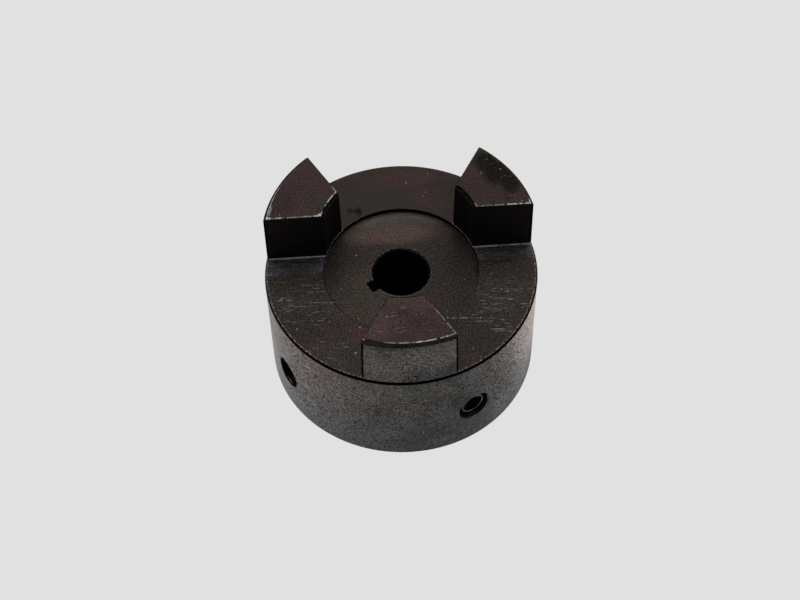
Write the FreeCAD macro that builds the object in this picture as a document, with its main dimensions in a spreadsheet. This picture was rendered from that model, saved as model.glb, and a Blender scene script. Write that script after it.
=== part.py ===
import FreeCAD, Part
import math
import os

import Sketcher

# One hub of a jaw coupling with its two set screws.
# Frame: the bore's axis is Z, the face at the shaft end lies on z = 0 and the
# jaws point up. All sizes are in millimetres and live in the sheet "Sizes".

JAW_COUNT = 3
FRONT = -90          # azimuth of the first jaw, degrees

SIZES = [
    # alias, value, what it is
    ("hub_radius", 26.80, "outside of the hub"),
    ("body_length", 25.40, "shaft end to the face the jaws stand on"),
    ("foot_chamfer", 0.45, "edge break of the shaft end's rim"),
    ("rim_inset", 0.20, "edge break of the jaw face's rim, inwards"),
    ("rim_drop", 0.55, "edge break of the jaw face's rim, downwards"),
    ("recess_radius", 15.20, "shallow round recess inside the jaws"),
    ("recess_depth", 0.80, "depth of that recess"),
    ("bore_radius", 5.555, "shaft bore"),
    ("bore_chamfer", 0.33, "edge break at both ends of the bore"),
    ("jaw_height", 12.30, "jaw face to jaw tops"),
    ("jaw_root", 0.30, "how far each jaw is sunk in the body"),
    ("jaw_outer_radius", 26.60, "outer face of the jaws, at the inside of the rim's break"),
    ("jaw_inner_radius", 15.20, "inner face of the jaws"),
    ("foot_half_gap", 4.45, "jaw flank to the middle line of a spider leg, at the foot"),
    ("top_half_gap", 4.72, "the same at the jaw tops"),
    ("jaw_top_chamfer", 0.72, "chamfer along the inner and outer top edges"),
    ("jaw_edge_break", 0.25, "edge break of the flanks and corners"),
    ("jaw_root_fillet", 0.40, "fillet where a flank meets the jaw face"),
    ("bore_turn", -152.0, "azimuth of the keyway, degrees"),
    ("key_width", 2.55, "keyway width"),
    ("key_reach", 7.30, "bore axis to the keyway's bottom"),
    ("side_turn", -62.0, "azimuth of the hole beside the keyway, degrees"),
    ("key_hole_height", 10.50, "shaft end to the axis of the hole over the keyway"),
    ("side_hole_height", 11.15, "shaft end to the axis of the hole beside it"),
    ("pitch", 1.27, "thread pitch"),
    ("tap_crest_radius", 3.225, "tapped hole at the thread crests"),
    ("tap_root_radius", 3.38, "tapped hole at the thread roots"),
    ("key_mouth_radius", 3.42, "countersink of the hole over the keyway"),
    ("side_mouth_radius", 3.55, "countersink of the hole beside it"),
    ("screw_length", 12.70, "set screw"),
    ("screw_radius", 3.175, "set screw at the thread crests"),
    ("screw_root_radius", 2.55, "set screw at the thread roots"),
    ("screw_end_chamfer", 0.80, "chamfer of the socket end"),
    ("point_length", 1.25, "length of the tapered cup point"),
    ("point_radius", 1.80, "rim of the cup point"),
    ("cup_depth", 0.60, "depth of the cup"),
    ("socket_flats", 3.20, "hexagon socket across flats"),
    ("socket_depth", 4.00, "depth of the socket"),
    ("socket_mouth_radius", 2.10, "round mouth of the socket"),
    ("socket_mouth_depth", 1.00, "depth of that mouth"),
    ("key_screw_tail", 24.50, "bore axis to the socket end, screw over the keyway"),
    ("side_screw_tail", 26.15, "bore axis to the socket end, screw beside it"),
]

doc = FreeCAD.newDocument("jaw_coupling_hub")
sheet = doc.addObject("Spreadsheet::Sheet", "Sizes")
for row, (alias, value, meaning) in enumerate(SIZES, start=1):
    sheet.set("A%d" % row, alias)
    sheet.set("B%d" % row, str(value))
    sheet.setAlias("B%d" % row, alias)
    sheet.set("C%d" % row, meaning)
doc.recompute()
size = {alias: value for alias, value, meaning in SIZES}


def cell(alias):
    """The sheet's cell as written in an expression."""
    return "Sizes." + alias


def value_of(expression):
    """The number an expression of sheet cells comes to."""
    return float(sheet.evalExpression(expression))


def origin_plane(body, role):
    """The body's own origin plane with that role."""
    for feature in body.Origin.OriginFeatures:
        if feature.Role == role:
            return feature
    raise RuntimeError("no origin plane " + role)


def new_sketch(body, name, role="XY_Plane", height=None, turn=None):
    """A sketch on an origin plane, lifted along and turned about its normal."""
    sketch = body.newObject("Sketcher::SketchObject", name)
    sketch.AttachmentSupport = [(origin_plane(body, role), "")]
    sketch.MapMode = "FlatFace"
    if height is not None:
        sketch.setExpression("AttachmentOffset.Base.z", height)
    if turn is not None:
        sketch.setExpression("AttachmentOffset.Rotation.Angle", turn)
    doc.recompute()
    return sketch


def add_polygon(sketch, corners):
    """A closed outline whose corners are pairs of expressions."""
    points = [FreeCAD.Vector(value_of(x), value_of(y), 0) for x, y in corners]
    count = len(points)
    for i in range(count):
        sketch.addGeometry(Part.LineSegment(points[i], points[(i + 1) % count]), False)
    for i in range(count):
        sketch.addConstraint(Sketcher.Constraint("Coincident", i, 2, (i + 1) % count, 1))
    for i, (x, y) in enumerate(corners):
        for kind, expression, number in (
            ("DistanceX", x, points[i].x),
            ("DistanceY", y, points[i].y),
        ):
            index = sketch.addConstraint(Sketcher.Constraint(kind, -1, 1, i, 1, number))
            sketch.setExpression("Constraints[%d]" % index, expression)
    doc.recompute()


def check_feature(feature):
    """Stop if a feature did not come out as one valid shape."""
    doc.recompute()
    bad = [s for s in feature.State if s in ("Invalid", "Error")]
    if bad or feature.Shape.isNull() or not feature.Shape.isValid():
        raise RuntimeError("%s failed: %s" % (feature.Label, feature.State))


def check_cut(feature, volume_before):
    """Stop if a cut took nothing away."""
    check_feature(feature)
    if feature.Shape.Volume >= volume_before - 1e-6:
        raise RuntimeError(feature.Label + " removed nothing")


def revolve(body, kind, name, sketch, axis):
    """A full turn of a sketch about one of its own axes."""
    feature = body.newObject("PartDesign::" + kind, name)
    feature.Profile = sketch
    feature.ReferenceAxis = (sketch, [axis])
    feature.Angle = 360
    sketch.Visibility = False
    doc.recompute()
    return feature


def edges_where(shape, test):
    """Names of the edges that pass a test of their middle point and curve."""
    names = []
    for number, edge in enumerate(shape.Edges, start=1):
        low, high = edge.ParameterRange
        middle = edge.valueAt((low + high) / 2)
        if test(edge, middle):
            names.append("Edge%d" % number)
    return names


def dress(body, kind, name, base, names, alias):
    """A chamfer or a fillet on named edges."""
    feature = body.newObject("PartDesign::" + kind, name)
    feature.Base = (base, names)
    what = "Size" if kind == "Chamfer" else "Radius"
    feature.setExpression(what, cell(alias))
    check_feature(feature)
    return feature


def near(a, b, slack=1e-3):
    return abs(a - b) < slack


def thread_outline(start, end, crest, root, first, turns):
    """Corners of a row of V-shaped grooves along X, start and end included."""
    corners = [(start, crest)]
    for turn in range(turns):
        ridge = "(%s + %d * Sizes.pitch)" % (first, turn)
        for step, radius in ((0.10, crest), (0.45, root), (0.55, root), (0.90, crest)):
            corners.append(("%s + %.2f * Sizes.pitch" % (ridge, step), radius))
    corners.append((end, crest))
    return corners


# --- the hub -------------------------------------------------------------

hub = doc.addObject("PartDesign::Body", "hub")
hub.Label = "hub"

outline = new_sketch(hub, "HubOutline", "XZ_Plane")
add_polygon(outline, [
    ("Sizes.bore_radius + Sizes.bore_chamfer", "0"),
    ("Sizes.hub_radius - Sizes.foot_chamfer", "0"),
    ("Sizes.hub_radius", "Sizes.foot_chamfer"),
    ("Sizes.hub_radius", "Sizes.body_length - Sizes.rim_drop"),
    ("Sizes.hub_radius - Sizes.rim_inset", "Sizes.body_length"),
    ("Sizes.recess_radius", "Sizes.body_length"),
    ("Sizes.recess_radius", "Sizes.body_length - Sizes.recess_depth"),
    ("Sizes.bore_radius + Sizes.bore_chamfer", "Sizes.body_length - Sizes.recess_depth"),
    ("Sizes.bore_radius", "Sizes.body_length - Sizes.recess_depth - Sizes.bore_chamfer"),
    ("Sizes.bore_radius", "Sizes.bore_chamfer"),
])
turned_body = revolve(hub, "Revolution", "TurnedBody", outline, "V_Axis")
check_feature(turned_body)


def add_jaw_outline(sketch):
    """The foot of one jaw: two arcs about the bore and two straight flanks.

    A flank runs beside the middle line of a spider leg. The leg lines lie 30
    degrees to either side of the jaw.
    """
    outer = size["jaw_outer_radius"]
    inner = size["jaw_inner_radius"]
    gap = size["foot_half_gap"]
    leg = 180.0 / (2 * JAW_COUNT)

    def corner(radius, side):
        angle = math.radians(FRONT + side * (leg - math.degrees(math.asin(gap / radius))))
        return FreeCAD.Vector(radius * math.cos(angle), radius * math.sin(angle), 0)

    def arc(radius):
        circle = Part.Circle(FreeCAD.Vector(0, 0, 0), FreeCAD.Vector(0, 0, 1), radius)
        start, end = corner(radius, -1), corner(radius, 1)
        return Part.ArcOfCircle(
            circle, math.atan2(start.y, start.x), math.atan2(end.y, end.x))

    sketch.addGeometry(arc(outer), False)
    sketch.addGeometry(arc(inner), False)
    sketch.addGeometry(Part.LineSegment(corner(inner, -1), corner(outer, -1)), False)
    sketch.addGeometry(Part.LineSegment(corner(inner, 1), corner(outer, 1)), False)
    for curve, alias in ((0, "jaw_outer_radius"), (1, "jaw_inner_radius")):
        sketch.addConstraint(Sketcher.Constraint("Coincident", curve, 3, -1, 1))
        index = sketch.addConstraint(Sketcher.Constraint("Radius", curve, size[alias]))
        sketch.setExpression("Constraints[%d]" % index, cell(alias))
    for line, arc_end, side in ((2, 1, -1), (3, 2, 1)):
        sketch.addConstraint(Sketcher.Constraint("Coincident", line, 1, 1, arc_end))
        sketch.addConstraint(Sketcher.Constraint("Coincident", line, 2, 0, arc_end))
        direction = math.radians(FRONT + side * leg)
        sketch.addConstraint(Sketcher.Constraint("Angle", line, direction))
        index = sketch.addConstraint(Sketcher.Constraint("Distance", -1, 1, line, gap))
        sketch.setExpression("Constraints[%d]" % index, cell("foot_half_gap"))
    doc.recompute()


jaw_plan = new_sketch(hub, "JawPlan", "XY_Plane", height="Sizes.body_length - Sizes.jaw_root")
add_jaw_outline(jaw_plan)
jaw = hub.newObject("PartDesign::Pad", "Jaw")
jaw.Profile = jaw_plan
jaw.setExpression("Length", "Sizes.jaw_height + Sizes.jaw_root")
jaw_plan.Visibility = False
check_feature(jaw)

jaws = hub.newObject("PartDesign::PolarPattern", "Jaws")
jaws.Originals = [jaw]
jaws.Axis = (jaw_plan, ["N_Axis"])
jaws.Angle = 360
jaws.Occurrences = JAW_COUNT
hub.Tip = jaws
check_feature(jaws)

# A channel with leaning walls runs along each leg line and gives the flanks
# their lean: the gap is wider at the jaw tops than at the jaw face.
channel_outline = new_sketch(hub, "LegChannelOutline", "YZ_Plane")
jaw_top = "Sizes.body_length + Sizes.jaw_height"
add_polygon(channel_outline, [
    ("-Sizes.foot_half_gap", "Sizes.body_length"),
    ("Sizes.foot_half_gap", "Sizes.body_length"),
    ("Sizes.top_half_gap", jaw_top),
    ("Sizes.top_half_gap", jaw_top + " + 1"),
    ("-Sizes.top_half_gap", jaw_top + " + 1"),
    ("-Sizes.top_half_gap", jaw_top),
])
channel = hub.newObject("PartDesign::Pocket", "LegChannel")
channel.Profile = channel_outline
channel.setExpression("Length", "Sizes.hub_radius + 2")
channel.Reversed = True
channel_outline.Visibility = False
check_cut(channel, jaws.Shape.Volume)

channels = hub.newObject("PartDesign::PolarPattern", "LegChannels")
channels.Originals = [channel]
channels.Axis = (jaw_plan, ["N_Axis"])
channels.Angle = 360
channels.Occurrences = 2 * JAW_COUNT
hub.Tip = channels
check_cut(channels, channel.Shape.Volume)

FACE = size["body_length"]
TOP = size["body_length"] + size["jaw_height"]


def is_straight(edge):
    """Whether the edge is as long as the way between its two ends."""
    ends = [vertex.Point for vertex in edge.Vertexes]
    return len(ends) == 2 and near(ends[0].distanceToPoint(ends[1]), edge.Length, 1e-4)


def flank_foot(edge, middle):
    return is_straight(edge) and edge.Length > 5 and near(middle.z, FACE)


def top_arc(edge, middle):
    return not is_straight(edge) and near(middle.z, TOP)


def flank_rim(edge, middle):
    if is_straight(edge) and near(middle.z, TOP):
        return True
    upright = abs(edge.Vertexes[0].Z - edge.Vertexes[-1].Z) > size["jaw_height"] / 2
    outside = math.hypot(middle.x, middle.y) > size["jaw_outer_radius"] - 1
    return upright and outside


last = dress(hub, "Chamfer", "JawTopChamfers", channels,
             edges_where(channels.Shape, top_arc), "jaw_top_chamfer")
last = dress(hub, "Chamfer", "JawEdgeBreaks", last,
             edges_where(last.Shape, flank_rim), "jaw_edge_break")
last = dress(hub, "Fillet", "JawRootFillets", last,
             edges_where(last.Shape, flank_foot), "jaw_root_fillet")

volume = last.Shape.Volume
key_outline = new_sketch(hub, "KeywayOutline", "XY_Plane", turn="Sizes.bore_turn")
add_polygon(key_outline, [
    ("0", "-Sizes.key_width / 2"),
    ("Sizes.key_reach", "-Sizes.key_width / 2"),
    ("Sizes.key_reach", "Sizes.key_width / 2"),
    ("0", "Sizes.key_width / 2"),
])
keyway = hub.newObject("PartDesign::Pocket", "Keyway")
keyway.Profile = key_outline
keyway.Type = "ThroughAll"
keyway.Reversed = True
key_outline.Visibility = False
check_cut(keyway, volume)


def tap_hole(name, turn, height, mouth_radius):
    """A threaded hole from the bore out through the side of the hub.

    The thread is a row of closed rings. Its crests clear the screw, so the
    screw can travel along the hole.
    """
    before = hub.Tip.Shape.Volume
    sketch = new_sketch(hub, name + "Outline", "XY_Plane",
                        height=height, turn=turn)
    first = "(Sizes.hub_radius - 0.5 - 17 * Sizes.pitch)"
    mouth = "%s - Sizes.tap_crest_radius" % mouth_radius
    corners = thread_outline("1", "Sizes.hub_radius - (%s) - 0.1" % mouth,
                             cell("tap_crest_radius"), cell("tap_root_radius"), first, 17)
    corners += [
        ("Sizes.hub_radius - 0.1", mouth_radius),
        ("Sizes.hub_radius + 2", mouth_radius),
        ("Sizes.hub_radius + 2", "0"),
        ("1", "0"),
    ]
    add_polygon(sketch, corners)
    groove = revolve(hub, "Groove", name, sketch, "H_Axis")
    check_cut(groove, before)
    return groove


tap_hole("KeyTapHole", "Sizes.bore_turn", "Sizes.key_hole_height",
         "Sizes.key_mouth_radius")
tap_hole("SideTapHole", "Sizes.side_turn", "Sizes.side_hole_height",
         "Sizes.side_mouth_radius")


# --- the set screws ------------------------------------------------------

def set_screw(label, azimuth, height, tail):
    """A headless screw with a cup point towards the bore and a hexagon socket.

    It is drawn along X with the point at x = 0, then put in its hole.
    """
    body = doc.addObject("PartDesign::Body", label)
    body.Label = label
    sketch = new_sketch(body, label + "_outline", "XY_Plane")
    crest = cell("screw_radius")
    thread = thread_outline("Sizes.point_length",
                            "Sizes.screw_length - Sizes.screw_end_chamfer",
                            crest, cell("screw_root_radius"),
                            "(Sizes.point_length + 0.1)", 8)
    corners = [
        (cell("cup_depth"), "0"),
        ("0", cell("point_radius")),
    ]
    corners += thread
    corners += [
        ("Sizes.screw_length", "Sizes.screw_radius - Sizes.screw_end_chamfer"),
        ("Sizes.screw_length", cell("socket_mouth_radius")),
        ("Sizes.screw_length - Sizes.socket_mouth_depth", cell("socket_mouth_radius")),
        ("Sizes.screw_length - Sizes.socket_mouth_depth", "0"),
    ]
    add_polygon(sketch, corners)
    turned = revolve(body, "Revolution", label + "_turned", sketch, "H_Axis")
    check_feature(turned)

    hexagon = new_sketch(body, label + "_hexagon", "YZ_Plane", height="Sizes.screw_length")
    flats = "Sizes.socket_flats / sqrt(3)"
    add_polygon(hexagon, [
        ("%s * cos(%d deg)" % (flats, angle), "%s * sin(%d deg)" % (flats, angle))
        for angle in range(30, 390, 60)
    ])
    socket = body.newObject("PartDesign::Pocket", label + "_socket")
    socket.Profile = hexagon
    socket.setExpression("Length", cell("socket_depth"))
    hexagon.Visibility = False
    check_cut(socket, turned.Shape.Volume)

    angle = math.radians(azimuth)
    tip = tail - size["screw_length"]
    body.Placement = FreeCAD.Placement(
        FreeCAD.Vector(tip * math.cos(angle), tip * math.sin(angle), height),
        FreeCAD.Rotation(FreeCAD.Vector(0, 0, 1), azimuth))
    return body


key_screw = set_screw("set_screw_key", size["bore_turn"], size["key_hole_height"],
                      size["key_screw_tail"])
side_screw = set_screw("set_screw_side", size["side_turn"], size["side_hole_height"],
                       size["side_screw_tail"])
doc.recompute()

# --- checks and export ---------------------------------------------------

bodies = [hub, key_screw, side_screw]
for thing in doc.Objects:
    if "Invalid" in thing.State or "Error" in thing.State:
        raise RuntimeError("%s is in state %s" % (thing.Label, thing.State))
for body in bodies:
    shape = body.Shape
    if shape.isNull() or not shape.isValid() or len(shape.Solids) != 1:
        raise RuntimeError(body.Label + " is not one valid solid")

os.makedirs("parts", exist_ok=True)
for body in bodies:
    body.Shape.exportStep(os.path.join("parts", body.Label + ".step"))
    box = body.Shape.optimalBoundingBox(False)
    print("%-16s volume %9.2f  x %.2f..%.2f  y %.2f..%.2f  z %.2f..%.2f" % (
        body.Label, body.Shape.Volume, box.XMin, box.XMax, box.YMin, box.YMax,
        box.ZMin, box.ZMax))
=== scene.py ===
import math
from types import SimpleNamespace

import bpy
from mathutils import Matrix, Quaternion, Vector


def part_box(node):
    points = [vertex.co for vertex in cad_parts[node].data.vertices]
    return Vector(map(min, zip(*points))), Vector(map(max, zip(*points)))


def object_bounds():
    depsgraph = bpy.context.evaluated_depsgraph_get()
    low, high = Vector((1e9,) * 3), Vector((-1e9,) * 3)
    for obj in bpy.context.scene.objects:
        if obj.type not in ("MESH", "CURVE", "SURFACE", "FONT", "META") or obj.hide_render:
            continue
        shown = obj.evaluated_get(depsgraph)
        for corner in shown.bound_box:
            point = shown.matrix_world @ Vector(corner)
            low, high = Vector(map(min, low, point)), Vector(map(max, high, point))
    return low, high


# The look of a black-oxide coupling hub with two set screws. Everything is in
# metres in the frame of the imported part; the material nodes work in millimetres.

MM = 0.001

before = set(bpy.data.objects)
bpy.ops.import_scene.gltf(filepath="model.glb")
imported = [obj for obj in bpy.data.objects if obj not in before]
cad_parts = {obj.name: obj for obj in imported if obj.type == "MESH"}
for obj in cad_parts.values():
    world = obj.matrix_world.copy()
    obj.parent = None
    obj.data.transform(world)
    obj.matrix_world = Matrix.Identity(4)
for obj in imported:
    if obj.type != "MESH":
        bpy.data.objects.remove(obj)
cad_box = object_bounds()
hub_low, hub_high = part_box("hub")

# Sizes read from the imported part, in millimetres.
HUB_RADIUS = (hub_high.x - hub_low.x) / 2 / MM
JAW_TOP = hub_high.z / MM

# Sizes that its box doesn't show.
JAW_COUNT = 3
JAW_HEIGHT = 12.3
JAW_TOP_CHAMFER = 0.72
FOOT_HALF_GAP = 4.45         # jaw flank to the middle line of a spider leg, at the foot
TOP_HALF_GAP = 4.72          # the same at the jaw tops
RECESS_RADIUS = 15.2
RECESS_DEPTH = 0.8
BORE_RADIUS = 5.555
RIM_INSET = 0.20             # the edge break round the jaw face
RIM_DROP = 0.55

JAW_FACE = JAW_TOP - JAW_HEIGHT
CHAMFER_FOOT = JAW_TOP - JAW_TOP_CHAMFER
RECESS_FLOOR = JAW_FACE - RECESS_DEPTH
RIM_RADIUS = HUB_RADIUS - RIM_INSET
RIM_FOOT = JAW_FACE - RIM_DROP

SCREWS = {                   # azimuth in degrees, bore axis to the socket end
    "set_screw_key": (-152.0, 24.50),
    "set_screw_side": (-62.0, 26.15),
}

# Studio.
BACKGROUND = 0.753           # linear value of the plain pale grey all round
FLOOR_SIZE = 8.0             # metres
FLOOR_GAP = 0.02             # millimetres, so that floor and foot are not in one plane

# Camera: a long lens looking down on the jaws.
CAMERA_DISTANCE = 334.6      # millimetres, from the middle of the jaw face
CAMERA_AZIMUTH = -2.95       # degrees
CAMERA_ELEVATION = 53.01
CAMERA_YAW = 0.06
CAMERA_PITCH = -1.03
CAMERA_ROLL = 1.20
CAMERA_LENS = 76.6           # millimetres
SENSOR = 36.0


def direction(azimuth, elevation):
    """Unit vector that points from the object towards that side."""
    a, e = math.radians(azimuth), math.radians(elevation)
    return Vector((math.sin(a) * math.cos(e), -math.cos(a) * math.cos(e), math.sin(e)))


# --- node helpers ----------------------------------------------------------

class Nodes:
    """Short calls that build a shader node tree. Below, n is always one of these."""

    def __init__(self, tree):
        self.tree = tree
        tree.nodes.clear()

    def put(self, socket, value):
        if isinstance(value, bpy.types.NodeSocket):
            self.tree.links.new(value, socket)
        else:
            socket.default_value = value

    def add(self, kind, settings=None, **inputs):
        """A node of that kind, with its settings and what goes into each input. An
        input's name has underscores for its spaces."""
        node = self.tree.nodes.new("ShaderNode" + kind)
        for name, value in (settings or {}).items():
            setattr(node, name, value)
        for name, value in inputs.items():
            self.put(node.inputs[name.replace("_", " ")], value)
        return node

    def output(self, kind, shader):
        """Ends the tree in an output of that kind."""
        self.put(self.add(kind).inputs["Surface"], shader.outputs[0])

    # Numbers.

    def math(self, operation, *values, clamp=False):
        node = self.add("Math", {"operation": operation, "use_clamp": clamp})
        for socket, value in zip(node.inputs, values):
            self.put(socket, value)
        return node.outputs[0]

    def chain(self, operation, values):
        result = values[0]
        for value in values[1:]:
            result = self.math(operation, result, value)
        return result

    def total(self, *values):
        return self.chain("ADD", values)

    def product(self, *values):
        return self.chain("MULTIPLY", values)

    def most(self, *values):
        return self.chain("MAXIMUM", values)

    def minus(self, a, b):
        return self.math("SUBTRACT", a, b)

    def less(self, value, share=1.0):
        """1, less this share of the value."""
        return self.minus(1.0, self.product(value, share))

    def choose(self, share, a, b):
        """The number a where the share is 0, and b where it is 1."""
        return self.total(self.product(a, self.less(share)), self.product(b, share))

    def step(self, value, low, high, to_low=0.0, to_high=1.0):
        """A smooth step of value from to_low, at low, to to_high, at high."""
        node = self.add("MapRange", {"interpolation_type": "SMOOTHSTEP"})
        for socket, number in zip(node.inputs, (value, low, high, to_low, to_high)):
            self.put(socket, number)
        return node.outputs[0]

    def between(self, value, low, high, soft):
        """1 between low and high, falling to 0 over the soft width outside."""
        return self.product(self.step(value, low - soft, low),
                            self.step(value, high + soft, high))

    # Places.

    def vector(self, operation, *values):
        node = self.add("VectorMath", {"operation": operation})
        for socket, value in zip(node.inputs, values):
            self.put(socket, value)
        return node.outputs["Value" if operation in ("DOT_PRODUCT", "LENGTH") else "Vector"]

    def scaled(self, place, x, y, z):
        return self.vector("MULTIPLY", place, (x, y, z))

    def moved(self, place, x, y, z):
        """The place moved, so that one texture doesn't repeat another's pattern."""
        return self.vector("ADD", place, (x, y, z))

    def joined(self, x, y, z):
        return self.add("CombineXYZ", X=x, Y=y, Z=z).outputs[0]

    def split(self, place):
        return self.add("SeparateXYZ", Vector=place).outputs[:3]

    # Colours.

    def mix(self, share, a, b):
        return self.blend("MIX", share, a, b)

    def blend(self, kind, share, a, b):
        node = self.add("Mix", {"data_type": "RGBA", "blend_type": kind})
        self.put(node.inputs[0], share)
        self.put(node.inputs[6], a)
        self.put(node.inputs[7], b)
        return node.outputs[2]

    def grey(self, value):
        return self.add("CombineColor", Red=value, Green=value, Blue=value).outputs[0]

    def toned(self, coat, tone, share=1.0):
        """The coat made darker or lighter by a tone, all of it or a share."""
        return self.blend("MULTIPLY", share, coat, self.grey(tone))

    # Textures.

    def noise(self, place, scale, detail=2.0, roughness=0.5, distortion=0.0):
        node = self.add("TexNoise", Vector=place, Scale=scale, Detail=detail,
                        Roughness=roughness, Distortion=distortion)
        return node.outputs[0]

    def cells(self, place, scale):
        """A cell texture: how far its middle is, and a random number for each cell."""
        node = self.add("TexVoronoi", {"feature": "F1"}, Vector=place, Scale=scale)
        chosen = self.add("TexWhiteNoise", {"noise_dimensions": "3D"},
                          Vector=node.outputs["Position"]).outputs["Value"]
        return node.outputs["Distance"], chosen

    def spots(self, place, scale, radius, share):
        """Small round spots: about this share of the cells of a grid has one."""
        distance, chosen = self.cells(place, scale)
        near = self.step(distance, radius, radius * 0.5)
        return self.product(near, self.math("LESS_THAN", chosen, share))

    def patch(self, place, centre, half):
        """A soft round patch about a centre, as wide as twice its half sizes."""
        away = self.vector("SUBTRACT", place, centre)
        away = self.vector("DIVIDE", away, half)
        return self.step(self.vector("LENGTH", away), 1.25, 0.55)


def new_material(name):
    material = bpy.data.materials.new(name)
    material.use_nodes = True
    return material, Nodes(material.node_tree)


def colour(r, g, b):
    return (r, g, b, 1.0)


def object_millimetres(n):
    place = n.add("TexCoord").outputs["Object"]
    return n.scaled(place, 1 / MM, 1 / MM, 1 / MM)


# --- hub: colours and places -------------------------------------------------

# Reflectance of the coating, linear, with the colours of the painted reflection and painted shade on it.
COAT_BROWN = colour(0.0560, 0.0460, 0.0390)
COAT_PURPLE = colour(0.0760, 0.0470, 0.0465)
COAT_SIDE = colour(0.0588, 0.0552, 0.0508)
# Bluish foot of the outside: a painted tint of the near floor's reflection.
SIDE_LOW_PAINTED_REFLECTION = colour(0.0580, 0.0545, 0.0585)
# Painted reflection of the jaws' flanks in the jaw face, along their feet.
PAINTED_FLANK_REFLECTION = colour(0.1200, 0.1180, 0.1380)
COAT_BLUE = colour(0.0480, 0.0500, 0.0530)
# Painted shade on the jaws' chamfers, darkest on the inner ones.
CHAMFER_PAINTED_SHADE = colour(0.0380, 0.0390, 0.0385)
INNER_CHAMFER_PAINTED_SHADE = colour(0.0140, 0.0125, 0.0110)
# Painted shade on the jaws' flanks and inner faces, the bore and the recess wall.
FLANK_PAINTED_SHADE = colour(0.0135, 0.0110, 0.0118)
BARE_STEEL_AND_HIGHLIGHT = colour(0.95, 0.93, 0.90)
STAIN = colour(0.0165, 0.0135, 0.0095)

LINE_SHADE = 0.08            # painted shade on the rim's edge break and the thin lines at edges
WORN_SHADE = 0.40            # dents and the other dark marks
ANY_HEIGHT = 4.0             # half height of a patch that lies on one flat face
RAGGED = 5.0                 # millimetres by which a patch's edge wanders
LESS_RAGGED = 2.0
GRAIN_SWING = 4.0            # how strongly the grain's noise changes the coat
LEAST_GRAIN = 0.25           # the darkest that the grain makes the coat
PAINTED_WALL_LIGHT = 1.9              # how much painted light makes the recess floor lighter by its back wall
EDGE_ROUNDING = 0.20         # radius over which edges catch the light

# Scales of the noise and the cells, per millimetre.
WANDER_SCALE = 0.30
CLOUD_SCALE = 0.22
SIDE_CLOUD_SCALE = 0.16
STAIN_SCALE = 1.4
GRAIN_SCALE = 2.6
FINE_GRAIN_SCALE = 3.4
CHAMFER_GRAIN_SCALE = 0.8
CRACK_SCALE = 0.60
DARK_CRACK_SCALE = 0.50
SCRATCH_WEAR_SCALE = 0.9
FLECK_SCALE = 0.60
FINE_FLECK_SCALE = 1.7
EDGE_PATCH_SCALE = 0.8
EDGE_DOT_SCALE = 2.4
CORNER_DOT_SCALE = 2.2

# How much bare steel shows in each kind of mark: at 1 it is all bare.
FLECK_LIGHT = 0.75
FINE_FLECK_LIGHT = 0.44
MARK_LIGHT = 0.07
SCRATCH_LIGHT = 0.45
FACE_DASH_LIGHT = 0.30
JAW_DASH_LIGHT = 0.18
SIDE_DASH_LIGHT = 0.16
FLAT_CRACK_LIGHT = 0.06
SIDE_CRACK_LIGHT = 0.13
# Painted highlights on the rim's near side and the bore's edge, as bare steel.
RIM_HIGHLIGHT = 0.30
BORE_EDGE_HIGHLIGHT = 0.10

# How dark each kind of dark mark is: at 1 it has the whole of the worn shade.
DENT_DARK = 0.5
DASH_DARK = 0.8
CRACK_DARK = 0.30

# From the low to the high end of the cloud noise, the coat's tones and its roughness.
CLOUD_SPAN = (0.3, 0.7)
FLAT_TONES = (0.86, 1.14)
SIDE_TONE_SPAN = (0.74, 1.26)
FLAT_ROUGHNESS = (0.55, 0.64)
SIDE_ROUGHNESS = (0.30, 0.38)
SHADED_ROUGHNESS = 0.16      # added in the bore and on the sides of the jaws
CORNER_ROUGHNESS = 0.3       # added at the jaws' upright edges

# How much of a mirror the outside is at flat angles.
SIDE_SHEEN = 0.92
LEAST_SHEEN = 0.2

# Millimetres of relief: everywhere, and more on the outside and where it is scuffed.
RELIEF = 0.02
SIDE_RELIEF = 0.015
SCUFF_RELIEF = 0.13

# Stretches over which something comes in, from where it has none to where it has all.
PAINTED_WALL_LIGHT_Y = (10.4, 13.4)
PAINTED_WALL_LIGHT_RADIUS = (RECESS_RADIUS - 3.7, RECESS_RADIUS)
NICKED_Y = (13.0, 3.0)       # more flecks and grain on the front half of the jaw face
REFLECTION_START_Y = (-0.3, 1.1)   # the bluish painted reflection of the flanks, along their feet
REFLECTION_END_Y = (4.6, 4.4)
WARM_Z = (2.0, 18.0)         # painted tint of the floor's reflection, from the bluish foot of the outside to its warm coat
FOOT_Z = (0.0, 7.0)          # from the darker foot of the outside
OUTER_CHAMFER_RADIUS = (17.0, 20.0)
LINE_GAP_X = (4.0, 7.0)      # the recess's line of painted shade fades at the front right
LINE_GAP_Y = (-5.0, -7.0)

# Patches on the flat faces: middle x, y and z, half width, half depth, strength.
PURPLE_PATCHES = [
    (-20.0, 11.0, JAW_TOP, 9.0, 10.0, 0.85),
    (18.0, 9.0, JAW_TOP, 7.5, 7.5, 0.90),
    (0.0, -20.5, JAW_TOP, 9.0, 7.0, 1.00),
    (3.0, 23.0, JAW_FACE, 6.5, 2.6, 0.95),
    (7.0, 17.8, JAW_FACE, 3.2, 3.0, 0.80),
    (-9.5, 23.6, JAW_FACE, 3.5, 1.6, 0.60),
    (-4.6, 8.7, RECESS_FLOOR, 4.0, 2.4, 0.70),
    (2.0, 9.9, RECESS_FLOOR, 6.5, 1.9, 0.70),
    (-10.7, -8.4, RECESS_FLOOR, 1.6, 1.6, 0.60),
    (-9.4, -14.3, JAW_FACE, 2.2, 1.8, 1.30),
    (-13.8, -14.2, JAW_FACE, 1.6, 1.2, 0.60),
    (-18.0, -17.4, JAW_FACE, 3.0, 1.6, 0.70),
    (11.9, -22.3, JAW_FACE, 1.8, 1.3, 0.80),
]
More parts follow.
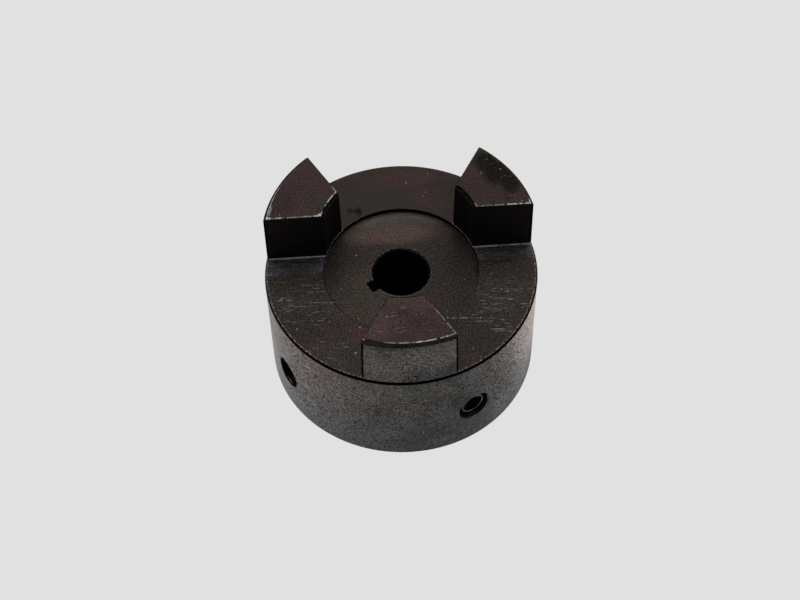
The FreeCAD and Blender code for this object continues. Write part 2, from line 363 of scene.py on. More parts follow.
DARK_PATCHES = [
    (15.6, 18.0, JAW_TOP, 1.4, 2.0, 0.55),
    (17.9, 15.6, JAW_TOP, 2.6, 2.9, 1.15),
    (20.0, 12.8, JAW_TOP, 3.2, 3.5, 1.35),
    (22.2, 10.2, JAW_TOP, 2.2, 2.9, 1.25),
    (21.4, 7.6, JAW_TOP, 1.4, 2.0, 0.50),
    (-23.6, 8.5, JAW_TOP, 3.2, 4.4, 0.26),
    (17.0, 8.5, JAW_TOP, 9.0, 6.0, 0.20),
    (-0.9, -18.6, JAW_TOP, 1.6, 1.6, 0.20),
    (2.0, -21.8, JAW_TOP, 3.4, 2.4, 0.24),
    (-11.5, 21.5, JAW_FACE, 4.0, 3.0, 0.16),
    (9.5, 19.5, JAW_FACE, 4.0, 3.5, 0.16),
    (-7.6, 15.2, JAW_FACE, 0.8, 1.1, 1.10),
    (-9.0, 15.5, JAW_FACE, 0.9, 0.8, 0.90),
    (14.6, -0.9, RECESS_FLOOR, 0.5, 1.6, 0.60),
    (17.7, 0.4, JAW_FACE, 1.6, 0.7, 0.45),
    (20.8, 0.5, JAW_FACE, 1.8, 0.5, 0.35),
]
# Painted light: lighter patches on the jaw face beside the jaws, on the recess floor and on the jaw tops.
PAINTED_LIGHT_PATCHES = [
    (-20.5, 0.2, JAW_FACE, 6.0, 1.8, 0.52),
    (20.5, 0.2, JAW_FACE, 6.0, 1.8, 0.48),
    (-1.5, 9.8, RECESS_FLOOR, 9.5, 3.3, 0.80),
    (-8.0, -6.0, RECESS_FLOOR, 8.5, 8.0, 0.36),
    (-6.0, -22.0, JAW_TOP, 3.0, 5.0, 0.32),
    (1.0, -17.0, JAW_TOP, 6.0, 2.0, 0.28),
    (-20.5, -3.0, JAW_FACE, 8.0, 7.0, 0.28),
    (20.5, -4.0, JAW_FACE, 8.0, 8.0, 0.30),
    (-12.0, -20.0, JAW_FACE, 7.0, 6.0, 0.20),
]

# Where the purple gives way to the plain brown, and where the coating is bluish.
BROWN_PATCHES = [
    (-15.5, 7.4, JAW_TOP, 2.8, 3.4, 0.80),
    (-20.3, 8.0, JAW_TOP, 1.8, 1.6, 0.45),
]
BLUE_PATCHES = [
    (-12.4, 6.8, RECESS_FLOOR, 1.9, 2.4, 0.50),
    (-10.4, 9.4, RECESS_FLOOR, 2.0, 1.6, 0.40),
]

# Where the jaw tops' corners are worn bright, with painted highlights.
WORN_AND_HIGHLIT_CORNERS = [
    (-25.5, 4.9, JAW_TOP, 0.9, 0.36, 1.0),
    (-14.9, 4.9, JAW_TOP, 0.8, 0.45, 1.0),
    (25.5, 4.9, JAW_TOP, 0.7, 0.30, 1.0),
    (8.6, -25.0, JAW_TOP, 0.6, 0.40, 1.0),
    (-8.5, -24.8, JAW_TOP, 0.4, 0.30, 0.9),
    (11.3, 10.6, JAW_TOP, 0.5, 0.9, 0.6),
    (-25.0, 8.0, JAW_TOP, 0.6, 2.4, 0.5),
]
# Stretches of the jaws' top edges that are rubbed bright, with painted highlights.
WORN_AND_HIGHLIT_EDGES = [
    (-23.6, 4.8, JAW_TOP, 2.8, 1.2, 1.0),
    (-19.5, 4.8, JAW_TOP, 4.0, 1.2, 0.55),
    (-15.6, 4.8, JAW_TOP, 2.0, 1.2, 1.0),
    (-12.7, 9.4, JAW_TOP, 2.3, 2.6, 1.0),
    (-24.3, 10.5, JAW_TOP, 2.6, 6.5, 0.60),
    (23.5, 4.8, JAW_TOP, 4.2, 1.2, 1.0),
    (17.0, 4.8, JAW_TOP, 4.0, 1.2, 0.45),
    (5.2, -26.0, JAW_TOP, 5.0, 1.8, 1.0),
    (-2.0, -26.4, JAW_TOP, 4.0, 1.2, 0.55),
    (7.4, -20.5, JAW_TOP, 3.0, 6.0, 0.55),
]
# Where the faces are worked most, with dashes, dents and cracks.
WORKED_PATCHES = [
    (19.0, -8.0, JAW_FACE, 6.0, 8.5, 1.0),
    (-20.0, -6.5, JAW_FACE, 6.0, 5.5, 0.8),
    (-15.0, -19.0, JAW_FACE, 5.0, 5.0, 0.4),
    (-1.0, -21.5, JAW_TOP, 6.0, 3.6, 0.9),
    (-22.0, 2.4, JAW_FACE, 7.0, 1.6, 0.7),
    (21.0, 2.4, JAW_FACE, 6.0, 1.6, 0.4),
]
# Lighter areas of the outside, partly painted highlights, and darker areas: middle x,
# y and z, half width, half height, strength.
SIDE_LIGHTS_AND_HIGHLIGHTS = [
    (-4.5, -26.4, 20.5, 4.5, 4.0, 0.22),
    (-9.0, -25.0, 8.0, 7.0, 6.0, 0.14),
    (22.6, -14.4, 5.0, 3.4, 4.5, 0.60),
    (18.6, -19.3, 4.4, 3.4, 4.5, 0.62),
    (4.5, -26.1, 32.0, 5.0, 4.0, 0.34),
]
SIDE_DARK_TONES = [
    (3.2, -26.6, 18.5, 4.0, 4.0, 0.26),
    (-6.5, -25.8, 36.4, 4.5, 1.0, 0.36),
    (4.5, -26.2, 27.0, 6.5, 1.8, 0.26),
    (-4.5, -26.4, 27.5, 3.0, 2.0, 0.10),
    (12.0, -24.0, 11.0, 3.0, 5.0, 0.12),
    (9.6, -25.0, 15.4, 2.4, 2.6, 0.50),
    (-4.8, -26.4, 34.0, 2.2, 1.0, 0.30),
    (1.7, -26.7, 29.6, 2.6, 1.2, 0.22),
    (-10.6, -24.6, 17.5, 1.8, 2.0, 0.24),
]
# Where the outside is scuffed all over, in rows of the same kind.
SIDE_SCUFFS = [
    (-22.0, -15.0, 14.0, 9.0, 12.0, 1.0),
    (-12.0, -24.0, 16.0, 6.0, 7.0, 0.7),
    (20.0, -17.0, 16.0, 8.0, 12.0, 1.0),
    (1.0, -26.8, 14.0, 7.0, 7.0, 0.5),
    (0.0, -26.6, 31.0, 8.0, 6.0, 0.5),
]

# Straight scratches on the jaw face. They all run this way, and each row holds
# where one starts and ends along it, how far to the side it lies, how bright.
MARK_TURN = -4.5             # degrees from X
SCRATCHES = [
    (-24.9, -20.6, -7.60, 0.60),
    (-19.4, -12.9, -8.10, 0.50),
    (-24.9, -22.6, -3.20, 0.40),
    (-22.5, -16.0, -9.00, 0.25),
    (-21.0, -14.6, -5.40, 0.20),
    (8.4, 13.0, -11.66, 0.70),
    (13.0, 18.2, -11.70, 0.60),
    (14.0, 17.5, -12.40, 0.35),
    (17.5, 21.5, -14.25, 0.60),
    (18.3, 21.9, -14.75, 0.50),
    (17.0, 22.6, -7.00, 0.30),
    (17.9, 23.6, -4.70, 0.30),
    (16.2, 21.0, -9.40, 0.28),
]
SCRATCH_HALF_WIDTH = 0.09


# --- hub: patterns -------------------------------------------------------------

def strongest(n, spots):
    """The strongest of some patches, each with its strength."""
    found = 0.0
    for spot, strength in spots:
        found = n.most(found, n.product(spot, strength))
    return found


def patches(n, place, rows):
    """A table's patches on the flat faces."""
    return strongest(n, [
        (n.patch(place, (x, y, z), (half_width, half_depth, ANY_HEIGHT)), strength)
        for x, y, z, half_width, half_depth, strength in rows])


def side_tones(n, place, rows):
    """The same for the outside, where a patch has a width and a height."""
    return strongest(n, [
        (n.patch(place, (x, y, z), (half_width, half_width, half_height)), strength)
        for x, y, z, half_width, half_height, strength in rows])


def dashes(n, place, share):
    """Short thin marks along X, for about this share of the places for one."""
    distance, chosen = n.cells(n.scaled(place, 0.50, 5.2, 0.05), 1.0)
    near = n.step(distance, 0.42, 0.22)
    strength = n.math("SUBTRACT", 1.0, n.math("DIVIDE", chosen, n.most(share, 0.001)), clamp=True)
    return n.product(near, strength)


def cracks(n, place, scale, half_width):
    """Thin wandering lines."""
    field = n.noise(place, scale, detail=2.0, roughness=0.6, distortion=1.0)
    away = n.math("ABSOLUTE", n.minus(field, 0.5))
    return n.step(away, half_width, half_width * 0.4)


def scratches(n, along, aside, broken):
    """Straight bright lines, worn through in places."""
    lines = []
    for start, end, middle, strength in SCRATCHES:
        away = n.math("ABSOLUTE", n.minus(aside, middle))
        line = n.step(away, SCRATCH_HALF_WIDTH * 1.6, SCRATCH_HALF_WIDTH * 0.6)
        lines.append((n.product(line, n.between(along, start, end, 0.4)), strength))
    return n.product(strongest(n, lines), broken)


# --- hub: material ---------------------------------------------------------------

# The functions below share one record, hub, of what is known at each point of its
# surface. Each reads what it needs from it and adds what later ones use.

def hub_surface(n):
    """Where each point of the hub is, and what kind of face it lies on."""
    hub = SimpleNamespace()
    hub.place = object_millimetres(n)
    hub.x, hub.y, hub.z = n.split(hub.place)
    hub.radius = n.math("SQRT", n.total(n.product(hub.x, hub.x), n.product(hub.y, hub.y)))
    hub.azimuth = n.math("ARCTAN2", hub.y, hub.x)
    hub.around = n.product(hub.azimuth, HUB_RADIUS)
    hub.normal = n.add("NewGeometry").outputs["Normal"]
    hub.rounded = n.add("Bevel", {"samples": 8}, Radius=EDGE_ROUNDING * MM).outputs[0]

    # Kinds of face, told by how far up they look and where they are.
    up = n.split(hub.normal)[2]
    hub.flat = n.step(up, 0.90, 0.97)
    hub.upright = n.step(up, 0.20, 0.10)
    hub.outside = n.product(hub.upright, n.step(hub.radius, HUB_RADIUS - 0.7, HUB_RADIUS - 0.6))
    hub.on_jaw = n.step(hub.z, JAW_TOP - 1.0, JAW_TOP - 0.4)
    hub.in_recess = n.product(n.step(hub.z, JAW_FACE - 0.2, JAW_FACE - 0.4), hub.flat)
    hub.chamfer = n.product(n.step(up, 0.55, 0.65), n.step(up, 0.92, 0.84), hub.on_jaw)
    hub.fillet = n.product(n.between(hub.z, JAW_FACE + 0.06, JAW_FACE + 0.24, 0.05),
                           n.step(hub.radius, HUB_RADIUS - 0.2, HUB_RADIUS - 0.5))
    hub.shaded = n.product(n.less(hub.flat), n.less(hub.outside))
    # Where the coat is painted near-black as shade: the steep faces that are not the outside, chamfers or
    # fillets.
    hub.black = n.product(hub.shaded, n.less(hub.fillet), n.less(hub.chamfer))
    return hub


def add_clouds(n, hub):
    """Slow random changes, and the places that give the patches their ragged edges."""
    wander = n.add("TexNoise", Vector=hub.place, Scale=WANDER_SCALE, Detail=3.0, Roughness=0.6)
    shift = n.vector("SUBTRACT", wander.outputs["Color"], (0.5, 0.5, 0.5))
    hub.ragged = n.vector("ADD", hub.place, n.scaled(shift, RAGGED, RAGGED, 0.0))
    hub.less_ragged = n.vector("ADD", hub.place, n.scaled(shift, LESS_RAGGED, LESS_RAGGED, 0.0))
    hub.clouds = n.noise(n.moved(hub.place, 31.0, 17.0, 5.0), CLOUD_SCALE, detail=4.0, roughness=0.65)
    hub.side_clouds = n.noise(n.moved(hub.place, 3.0, 47.0, 11.0), SIDE_CLOUD_SCALE,
                              detail=4.0, roughness=0.6)


def add_worn_areas(n, hub):
    """Where the outside is scuffed, the faces are worked and the jaw face is nicked most."""
    hub.scuffed = n.product(side_tones(n, hub.ragged, SIDE_SCUFFS), hub.outside)
    hub.worked = patches(n, hub.ragged, WORKED_PATCHES)
    hub.nicked = n.product(n.step(hub.y, *NICKED_Y), n.less(hub.on_jaw))


def flat_coat(n, hub):
    """Brown with purple and bluish patches, lighter and darker in random clouds, with patches of painted
    light.
    """
    purple = n.product(patches(n, hub.ragged, PURPLE_PATCHES),
                       n.step(hub.clouds, 0.25, 0.55, to_low=0.55))
    purple = n.math("ADD", purple, n.step(hub.clouds, 0.56, 0.72, to_high=0.35), clamp=True)
    purple = n.product(purple, n.less(patches(n, hub.less_ragged, BROWN_PATCHES)))
    coat = n.mix(purple, COAT_BROWN, COAT_PURPLE)
    coat = n.mix(patches(n, hub.ragged, BLUE_PATCHES), coat, COAT_BLUE)
    # Painted light: the recess floor is made lightest beside its back wall.
    painted_light_by_wall = n.product(hub.in_recess, n.step(hub.radius, *PAINTED_WALL_LIGHT_RADIUS), n.step(hub.y, *PAINTED_WALL_LIGHT_Y))
    painted_light_tone = n.total(1.0, patches(n, hub.less_ragged, PAINTED_LIGHT_PATCHES), n.product(painted_light_by_wall, PAINTED_WALL_LIGHT))
    cloud_tone = n.step(hub.clouds, *CLOUD_SPAN, *FLAT_TONES)
    return n.toned(coat, n.product(painted_light_tone, cloud_tone))


def with_painted_flank_reflection(n, hub, coat):
    """A bluish, streaky band of painted reflection of the flanks on the jaw face, along the feet of the
    flanks that face the front.
    """
    wave = n.total(hub.y, n.product(n.minus(hub.clouds, 0.5), 3.0))
    wave = n.minus(wave, n.step(hub.x, -5.0, 5.0, to_high=0.9))
    band = n.product(n.step(wave, *REFLECTION_START_Y), n.step(hub.y, *REFLECTION_END_Y),
                     n.step(hub.radius, RECESS_RADIUS, RECESS_RADIUS + 0.2),
                     n.step(hub.z, JAW_FACE + 0.6, JAW_FACE + 0.3))
    streaks = n.noise(n.scaled(hub.less_ragged, 0.28, 2.4, 0.0), 1.0, detail=3.0, roughness=0.7)
    reflection_coat = n.toned(PAINTED_FLANK_REFLECTION, n.step(streaks, 0.34, 0.66, to_low=0.55, to_high=1.50))
    return n.mix(n.product(band, 0.90), coat, reflection_coat)


def with_stains(n, hub, coat):
    """Dark oily stains and smudges, and wider darker areas."""
    grainy = n.step(n.noise(hub.place, STAIN_SCALE, detail=4.0, roughness=0.7), 0.34, 0.62, to_low=0.60)
    hub.stain = n.product(patches(n, hub.less_ragged, DARK_PATCHES), grainy)
    return n.mix(hub.stain, coat, STAIN)


def side_coat(n, hub):
    """The turned outside: warm above and bluish towards the foot, a painted tint of the floor's
    reflection, in lighter areas that are partly painted highlights, and darker areas.
    """
    reflection_tint = n.total(hub.z, n.product(n.minus(hub.clouds, 0.5), 14.0))
    coat = n.mix(n.step(reflection_tint, *WARM_Z), SIDE_LOW_PAINTED_REFLECTION, COAT_SIDE)
    tone = n.total(n.step(hub.side_clouds, *CLOUD_SPAN, *SIDE_TONE_SPAN),
                   side_tones(n, hub.ragged, SIDE_LIGHTS_AND_HIGHLIGHTS))
    tone = n.minus(tone, side_tones(n, hub.ragged, SIDE_DARK_TONES))
    return n.toned(coat, n.product(tone, n.step(hub.z, *FOOT_Z, to_low=0.86)))


def with_grain(n, hub, coat):
    """Fine grain, drawn out along the turning marks on the outside. It is strongest
    there and on the jaw face's front half, and weakest at its back."""
    fine = n.noise(hub.place, FINE_GRAIN_SCALE, detail=1.0)
    drawn_out = n.joined(n.product(hub.around, 0.45), hub.radius, hub.z)
    streaks = n.noise(drawn_out, GRAIN_SCALE, roughness=0.75)
    on_side = n.total(n.product(fine, 0.65), n.product(streaks, 0.35))
    hub.grain = n.choose(hub.outside, n.noise(hub.place, GRAIN_SCALE, roughness=0.75), on_side)
    depth = n.total(n.step(hub.on_jaw, 0.0, 1.0, to_low=0.42, to_high=0.66), n.product(hub.nicked, 0.58),
                    n.product(hub.outside, n.step(hub.z, 4.0, 14.0, to_low=0.25, to_high=0.55)),
                    n.product(hub.scuffed, 0.75))
    hub.swing = n.product(n.minus(hub.grain, 0.5), depth, GRAIN_SWING)
    least = n.total(LEAST_GRAIN, n.product(hub.outside, 0.30))
    return n.toned(coat, n.most(n.total(1.0, hub.swing), least))


def add_tool_marks(n, hub):
    """Faint straight tool marks, short dashes and fine cracks, light ones and dark ones."""
    turned = n.add("VectorRotate", {"rotation_type": "Z_AXIS"}, Vector=hub.place,
                   Angle=-math.radians(MARK_TURN)).outputs[0]
    along, aside, _ = n.split(turned)
    open_flat = n.product(hub.flat, n.less(hub.in_recess, 0.6))
    marks = n.noise(n.scaled(turned, 0.42, 3.6, 0.05), 1.0, detail=3.0, roughness=0.75)
    hub.mark = n.product(n.step(marks, 0.58, 0.74), n.total(hub.worked, 0.2), open_flat)
    dent = n.product(n.step(marks, 0.44, 0.30), hub.worked, hub.flat)

    unrolled = n.joined(hub.around, hub.z, hub.radius)
    dash = n.product(dashes(n, turned, n.product(hub.worked, 0.34)), open_flat)
    dark_dash = n.product(dashes(n, n.moved(turned, 5.0, 9.0, 3.0), n.product(hub.worked, 0.40)), hub.flat)
    side_dash = n.product(dashes(n, unrolled, n.product(hub.scuffed, 0.10)), hub.outside)
    dark_side_dash = n.product(
        dashes(n, n.moved(unrolled, 9.0, 4.0, 2.0), n.product(hub.scuffed, 0.18)), hub.outside)

    cracked = n.math("ADD", hub.scuffed, n.product(hub.worked, hub.flat, 0.8), clamp=True)
    crack = n.product(cracks(n, hub.place, CRACK_SCALE, 0.018), cracked)
    dark_crack = n.product(
        cracks(n, n.moved(hub.place, 13.0, 5.0, 8.0), DARK_CRACK_SCALE, 0.020), cracked)

    wear = n.noise(turned, SCRATCH_WEAR_SCALE, detail=3.0, roughness=0.8)
    broken = n.step(wear, 0.42, 0.60, to_low=0.08)
    hub.scratch = n.product(scratches(n, along, aside, broken), hub.flat,
                            n.less(hub.on_jaw), n.less(hub.in_recess))

    hub.worn_dark = n.most(n.product(dent, DENT_DARK), n.product(dark_dash, DASH_DARK),
                           n.product(dark_side_dash, DASH_DARK), n.product(dark_crack, CRACK_DARK))
    dash_light = n.step(hub.on_jaw, 0.0, 1.0, to_low=FACE_DASH_LIGHT, to_high=JAW_DASH_LIGHT)
    crack_light = n.step(hub.outside, 0.0, 1.0, to_low=FLAT_CRACK_LIGHT, to_high=SIDE_CRACK_LIGHT)
    hub.worn_light = n.most(n.product(hub.mark, MARK_LIGHT), n.product(hub.scratch, SCRATCH_LIGHT),
                            n.product(dash, dash_light), n.product(side_dash, SIDE_DASH_LIGHT),
                            n.product(crack, crack_light))


def flecks(n, hub):
    """Light flecks where the coating is nicked."""
    share = n.total(0.020, n.product(hub.nicked, 0.035), n.product(hub.scuffed, 0.12),
                    n.product(hub.stain, hub.on_jaw, 0.16))
    fine = n.product(n.spots(hub.place, FINE_FLECK_SCALE, 0.20, share), FINE_FLECK_LIGHT)
    coarse = n.spots(n.moved(hub.place, 7.0, 3.0, 1.0), FLECK_SCALE, 0.085, 0.22)
    coarse = n.product(coarse, FLECK_LIGHT)
    return n.product(n.most(coarse, fine), n.less(hub.outside, 0.35),
                     n.less(hub.shaded, 0.85), n.less(hub.rim_line))


def edge_wear_and_highlights(n, hub):
    """Bare steel worn along the jaws' top edges and corners, partly painted highlights there, and painted
    highlights on the jaws' feet, the rim and the bore.
    """
    patchy = n.step(n.noise(hub.place, EDGE_PATCH_SCALE, detail=3.0, roughness=0.7), 0.34, 0.54)
    dotted = n.step(n.noise(hub.place, EDGE_DOT_SCALE, roughness=0.7), 0.48, 0.62)
    corner_dots = n.step(n.noise(hub.place, CORNER_DOT_SCALE, roughness=0.7), 0.38, 0.50)

    # An edge shows where a rounded normal leaves the face's own.
    edge = n.step(n.vector("DOT_PRODUCT", hub.rounded, hub.normal), 0.985, 0.92)
    rubbed = n.product(patches(n, hub.place, WORN_AND_HIGHLIT_EDGES), hub.chamfer, patchy,
                       n.step(dotted, 0.0, 1.0, to_low=0.80, to_high=1.3))
    corner = n.product(patches(n, hub.place, WORN_AND_HIGHLIT_CORNERS), hub.on_jaw, corner_dots)
    # Painted highlights: a faint line along every jaw-top edge, with the rubbed edges and worn corners.
    jaws = n.product(n.most(rubbed, n.product(edge, patchy, 0.10), corner),
                     n.step(hub.z, JAW_TOP - 0.21, JAW_TOP - 0.12))

    # Painted highlight along the rim's near side.
    rim = n.product(hub.flat, n.between(hub.radius, RIM_RADIUS - 0.34, RIM_RADIUS - 0.14, 0.08),
                    n.step(hub.y, 8.0, 0.0), n.less(hub.on_jaw), dotted, RIM_HIGHLIGHT)
    # Painted highlight on the fillets at the jaws' feet.
    feet = n.product(hub.fillet, n.step(patchy, 0.0, 1.0, to_low=0.12, to_high=0.40))
    # Painted highlight on the bore's edge break.
    bore = n.product(n.between(hub.radius, BORE_RADIUS + 0.10, BORE_RADIUS + 0.45, 0.08), dotted,
                     n.step(hub.z, JAW_FACE - 1.6, JAW_FACE - 1.2), BORE_EDGE_HIGHLIGHT)
    return n.most(jaws, rim, feet, bore)


def chamfer_painted_shade(n, hub):
    """Painted shade on the jaws' chamfers: grey, darker on the inner ones, with grain along the edge."""
    drawn_out = n.joined(n.product(hub.around, 0.6), n.product(hub.radius, 3.0), n.product(hub.z, 3.0))
    grain = n.noise(drawn_out, CHAMFER_GRAIN_SCALE, roughness=0.7)
    coat = n.mix(n.step(hub.radius, *OUTER_CHAMFER_RADIUS), INNER_CHAMFER_PAINTED_SHADE, CHAMFER_PAINTED_SHADE)
    return n.toned(coat, n.step(grain, 0.36, 0.62, to_low=0.35, to_high=1.35))


def upright_edges(n, hub):
    """The small breaks between the jaws' flanks and the outside."""
    leg_angle = math.pi / JAW_COUNT / 2
    from_jaw = n.math("PINGPONG", n.total(hub.azimuth, math.pi / 2), 2 * leg_angle)
    to_leg = n.product(hub.radius, n.math("SINE", n.minus(leg_angle, from_jaw)))
    half_gap = n.add("MapRange", Value=hub.z, From_Min=JAW_FACE, From_Max=JAW_TOP,
                     To_Min=FOOT_HALF_GAP, To_Max=TOP_HALF_GAP).outputs[0]
    return n.product(hub.upright, n.step(n.minus(to_leg, half_gap), 0.58, 0.40),
                     n.step(hub.radius, HUB_RADIUS - 0.75, HUB_RADIUS - 0.65),
                     n.step(hub.z, JAW_FACE + 0.2, JAW_FACE + 0.5))


def add_edge_lines(n, hub):
    """Thin dark lines of painted shade: the rim's edge break, the jaws' edges and the recess's wall."""
    hub.rim_line = n.product(n.step(hub.radius, RIM_RADIUS - 0.04, RIM_RADIUS),
                             n.between(hub.z, RIM_FOOT - 0.10, JAW_FACE + 0.02, 0.06))
    hub.jaw_corner = upright_edges(n, hub)
    chamfer_line = n.product(hub.outside, n.between(hub.z, CHAMFER_FOOT - 0.20, CHAMFER_FOOT, 0.08))
    gap = n.product(n.step(hub.x, *LINE_GAP_X), n.step(hub.y, *LINE_GAP_Y))
    recess_line = n.product(n.between(hub.radius, RECESS_RADIUS - 0.02, RECESS_RADIUS + 0.12, 0.04),
                            n.step(hub.z, JAW_FACE + 0.3, JAW_FACE + 0.1), n.step(hub.radius, 10.0, 11.0),
                            n.less(gap, 0.8))
    hub.lines = n.most(hub.rim_line, hub.jaw_corner, n.product(chamfer_line, 0.7),
                       n.product(recess_line, 0.85))


def hub_coat(n, hub):
    """The coating's colour with its painted light, reflection and shade, before any of it is worn off."""
    coat = flat_coat(n, hub)
    coat = with_painted_flank_reflection(n, hub, coat)
    coat = with_stains(n, hub, coat)
    coat = n.mix(hub.outside, coat, side_coat(n, hub))
    coat = with_grain(n, hub, coat)
    add_tool_marks(n, hub)
    coat = n.toned(coat, WORN_SHADE, hub.worn_dark)
    # Painted shade on the chamfers.
    coat = n.mix(hub.chamfer, coat, chamfer_painted_shade(n, hub))
    # Painted shade: near black on the steep faces.
    coat = n.mix(hub.black, coat, FLANK_PAINTED_SHADE)
    add_edge_lines(n, hub)
    # Painted shade along the thin lines.
    return n.toned(coat, LINE_SHADE, hub.lines)


def hub_bump(n, hub):
    """The grain and the tool marks as relief, deepest where the outside is scuffed."""
    height = n.total(n.product(hub.grain, 0.7), n.product(n.most(hub.mark, hub.scratch), 0.8))
    depth = n.total(RELIEF, n.product(hub.outside, SIDE_RELIEF), n.product(hub.scuffed, SCUFF_RELIEF))
    return n.add("Bump", Strength=0.30, Distance=n.product(depth, MM), Height=height,
                 Normal=hub.rounded).outputs[0]


def hub_roughness(n, hub):
    """The turned outside is smoother than the faces and the sides of the jaws."""
    on_flat = n.step(hub.clouds, *CLOUD_SPAN, *FLAT_ROUGHNESS)
    on_side = n.step(hub.side_clouds, *CLOUD_SPAN, *SIDE_ROUGHNESS)
    return n.total(n.choose(hub.outside, on_flat, on_side), n.product(hub.shaded, SHADED_ROUGHNESS),
                   n.product(hub.jaw_corner, CORNER_ROUGHNESS))


def hub_sheen(n, hub):
    """How much the coat mirrors at flat angles, where its colour hardly shows. The grain
    and the wear dull it on the outside, and chamfers, flanks and corners have less."""
    sheen = n.total(SIDE_SHEEN, n.product(n.math("MINIMUM", hub.swing, 0.16), 0.5))
    sheen = n.most(n.product(sheen, n.less(hub.worn_dark, 0.6)), LEAST_SHEEN)
    return n.product(n.choose(hub.outside, 1.0, sheen), n.less(hub.chamfer, 0.65),
                     n.less(hub.jaw_corner), n.less(hub.black, 0.5))


def hub_material():
    """Black oxide on machined steel: mottled, scratched, speckled, worn at edges, with painted light,
    shade, reflections and highlights.
    """
    material, n = new_material("black_oxide")
    hub = hub_surface(n)
    add_clouds(n, hub)
    add_worn_areas(n, hub)
    coat = hub_coat(n, hub)
    # bare holds the bare steel of the wear and also the painted highlights.
    bare = n.most(hub.worn_light, flecks(n, hub), edge_wear_and_highlights(n, hub))
    # Bare spots scatter light from all sides, so they are only partly a mirror; the painted highlights are
    # given the same.
    shader = n.add("BsdfPrincipled", Base_Color=n.mix(bare, coat, BARE_STEEL_AND_HIGHLIGHT),
                   Metallic=n.less(bare, 0.9), Roughness=hub_roughness(n, hub),
                   Specular_Tint=n.grey(hub_sheen(n, hub)), Normal=hub_bump(n, hub))
    n.output("OutputMaterial", shader)
    return material


# --- screws ------------------------------------------------------------------

SCREW_DARK = colour(0.012, 0.012, 0.012)
SCREW_LIGHT = colour(0.036, 0.034, 0.033)
SCREW_GRAIN_SCALE = 3.0
SCREW_EDGE_ROUNDING = 0.10
SCREW_DOT_SCALE = 1.8
SCREW_ROUGHNESS = 0.32


def screw_material(name, azimuth, tail):
    """Dark oxide on a set screw, brighter on the rubbed ring round its socket."""
    material, n = new_material(name + "_oxide")
    place = object_millimetres(n)
    normal = n.add("NewGeometry").outputs["Normal"]
    grain = n.noise(place, SCREW_GRAIN_SCALE, detail=3.0, roughness=0.6)
    coat = n.mix(grain, SCREW_DARK, SCREW_LIGHT)
    rounded = n.add("Bevel", {"samples": 6}, Radius=SCREW_EDGE_ROUNDING * MM).outputs[0]
    edge = n.step(n.vector("DOT_PRODUCT", rounded, normal), 0.97, 0.88)
    outward = (math.cos(math.radians(azimuth)), math.sin(math.radians(azimuth)), 0.0)
    at_end = n.step(n.vector("DOT_PRODUCT", place, outward), tail - 0.30, tail - 0.20)
    dotted = n.step(n.noise(place, SCREW_DOT_SCALE, roughness=0.7), 0.40, 0.60, to_low=0.15)
    rubbed = n.product(edge, dotted, at_end)
    bump = n.add("Bump", Strength=0.2, Distance=0.01 * MM, Height=grain, Normal=rounded)
    shader = n.add("BsdfPrincipled", Base_Color=n.mix(n.product(rubbed, 0.8), coat, BARE_STEEL_AND_HIGHLIGHT),
                   Metallic=n.less(rubbed, 0.7), Roughness=SCREW_ROUGHNESS, Normal=bump.outputs[0])
    n.output("OutputMaterial", shader)
    return material


def paint(node, material):
    """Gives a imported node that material."""
    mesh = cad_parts[node].data
    mesh.materials.clear()
    mesh.materials.append(material)


paint("hub", hub_material())
for screw, (azimuth, tail) in SCREWS.items():
    paint(screw, screw_material(screw, azimuth, tail))


# --- studio ----------------------------------------------------------------

# How bright the pale floor is as the hub mirrors it: a painted shadow under the hub, dimmer
# beside it and brighter further out, and the light that comes from the left side and the far right.
FLOOR_UNDER_SHADOW = 0.03
FLOOR_NEAR_SHADOW = 0.60
FLOOR_FAR = 0.76
LEFT_LIGHT_NEAR = colour(0.24, 0.24, 0.24)
LEFT_LIGHT_FAR = colour(0.46, 0.28, 0.22)
RIGHT_LIGHT = colour(0.98, 0.80, 0.76)

# Light from all round, with a darker patch on the camera's side.
SKY_LEVEL = 0.86
DARK_LEVEL = 0.06
DARK_SIDE = direction(CAMERA_AZIMUTH, 48.0)


def plain_to_camera(n, shade):
    """The camera sees the plain background, and the hub mirrors the shade."""
    seen = n.add("LightPath").outputs["Is Camera Ray"]
    return n.mix(seen, shade, colour(BACKGROUND, BACKGROUND, BACKGROUND))


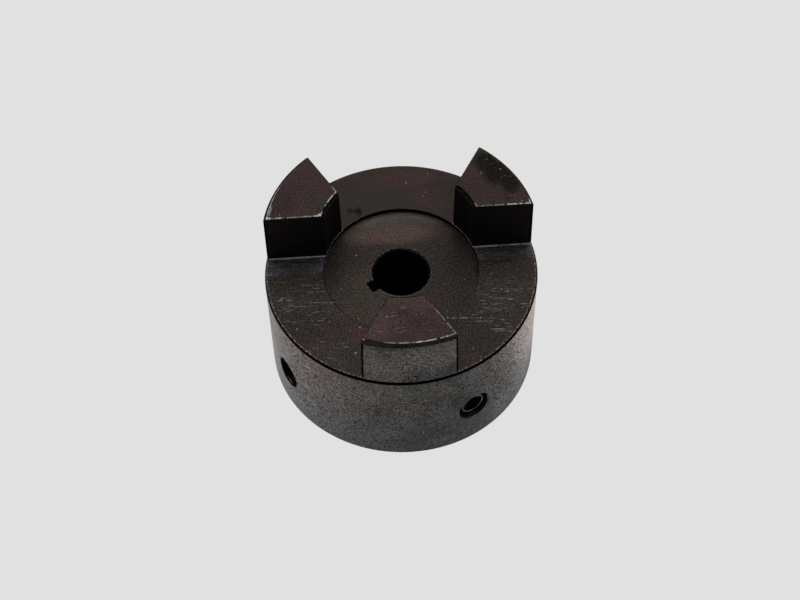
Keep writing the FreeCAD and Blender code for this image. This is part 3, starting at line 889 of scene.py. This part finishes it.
def floor_material():
    material, n = new_material("floor_paper")
    place = n.scaled(object_millimetres(n), 1.0, 1.0, 0.0)
    away = n.vector("LENGTH", place)
    x, y, _ = n.split(place)
    left = n.step(n.math("DIVIDE", x, away), -0.15, -0.80)
    right = n.product(n.step(n.math("DIVIDE", y, away), -0.62, -0.16), n.step(x, 0.0, 10.0),
                      n.step(away, HUB_RADIUS + 1, HUB_RADIUS + 6))
    far = n.step(away, HUB_RADIUS + 5, HUB_RADIUS + 14)
    level = n.step(away, HUB_RADIUS + 9, HUB_RADIUS + 20, FLOOR_NEAR_SHADOW, FLOOR_FAR)
    shade = n.blend("ADD", left, n.grey(level), n.mix(far, LEFT_LIGHT_NEAR, LEFT_LIGHT_FAR))
    shade = n.blend("ADD", right, shade, RIGHT_LIGHT)
    # Painted shadow: the floor gives almost no light under the hub.
    shade = n.toned(shade, n.step(away, HUB_RADIUS - 2, HUB_RADIUS + 0.5, to_low=FLOOR_UNDER_SHADOW))
    n.output("OutputMaterial", n.add("Emission", Color=plain_to_camera(n, shade), Strength=1.0))
    return material


def add_floor():
    mesh = bpy.data.meshes.new("floor")
    half = FLOOR_SIZE / 2
    corners = [(-half, -half, 0), (half, -half, 0), (half, half, 0), (-half, half, 0)]
    mesh.from_pydata(corners, [], [(0, 1, 2, 3)])
    mesh.materials.append(floor_material())
    floor = bpy.data.objects.new("floor", mesh)
    floor.location.z = cad_box[0].z - FLOOR_GAP * MM
    bpy.context.scene.collection.objects.link(floor)


def add_world():
    world = bpy.data.worlds.new("studio")
    bpy.context.scene.world = world
    world.use_nodes = True
    n = Nodes(world.node_tree)
    ray = n.add("TexCoord").outputs["Generated"]
    toward = n.vector("DOT_PRODUCT", ray, tuple(DARK_SIDE))
    level = n.step(toward, 0.50, 0.84, SKY_LEVEL, DARK_LEVEL)
    n.output("OutputWorld", n.add("Background", Color=plain_to_camera(n, n.grey(level)), Strength=1.0))


def add_camera():
    data = bpy.data.cameras.new("camera")
    data.sensor_width = SENSOR
    data.lens = CAMERA_LENS
    data.clip_start, data.clip_end = 0.01, 50.0
    camera = bpy.data.objects.new("camera", data)
    bpy.context.scene.collection.objects.link(camera)
    back = direction(CAMERA_AZIMUTH, CAMERA_ELEVATION)
    forward = -back
    right = forward.cross(Vector((0, 0, 1))).normalized()
    upward = right.cross(forward)
    for name, angle in (("yaw", CAMERA_YAW), ("pitch", CAMERA_PITCH), ("roll", CAMERA_ROLL)):
        axis = {"yaw": upward, "pitch": right, "roll": forward}[name]
        turn = Quaternion(axis, math.radians(angle))
        right, upward, forward = turn @ right, turn @ upward, turn @ forward
    turned = Matrix((right, upward, -forward)).transposed()
    eye = Vector((0, 0, JAW_FACE)) + back * CAMERA_DISTANCE
    camera.matrix_world = Matrix.Translation(eye * MM) @ turned.to_4x4()
    bpy.context.scene.camera = camera


add_floor()
add_world()
add_camera()
bpy.context.scene.view_settings.view_transform = "Standard"
